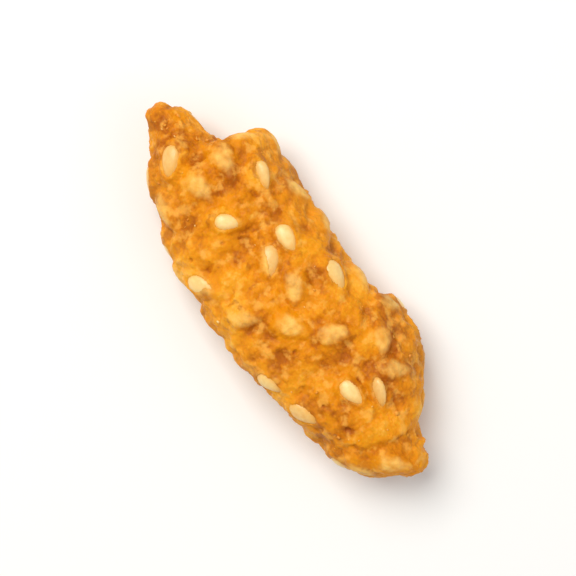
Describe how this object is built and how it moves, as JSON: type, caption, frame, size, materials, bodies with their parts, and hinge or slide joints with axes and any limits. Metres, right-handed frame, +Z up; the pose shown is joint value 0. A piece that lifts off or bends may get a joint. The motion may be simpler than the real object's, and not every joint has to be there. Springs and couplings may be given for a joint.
{
  "type": "sesame stick",
  "caption": "Stubby, flattened stick of deep-fried wheat dough, crusted with sesame seeds, with a torn shoulder near one end; a loose snack piece.",
  "frame": {"origin": "middle of the stick's box, on the surface that its flat spot rests on", "axes": "+X along the stick, away from the end with the torn shoulder; +Y across its broad face; +Z up out of its broad face"},
  "size_m": [0.0392, 0.015, 0.0087],
  "materials": {
    "crust": "matte",
    "seed": "satin"
  },
  "bodies": {
    "root": {"sesame_stick": "crust"}
  },
  "joints": []
}
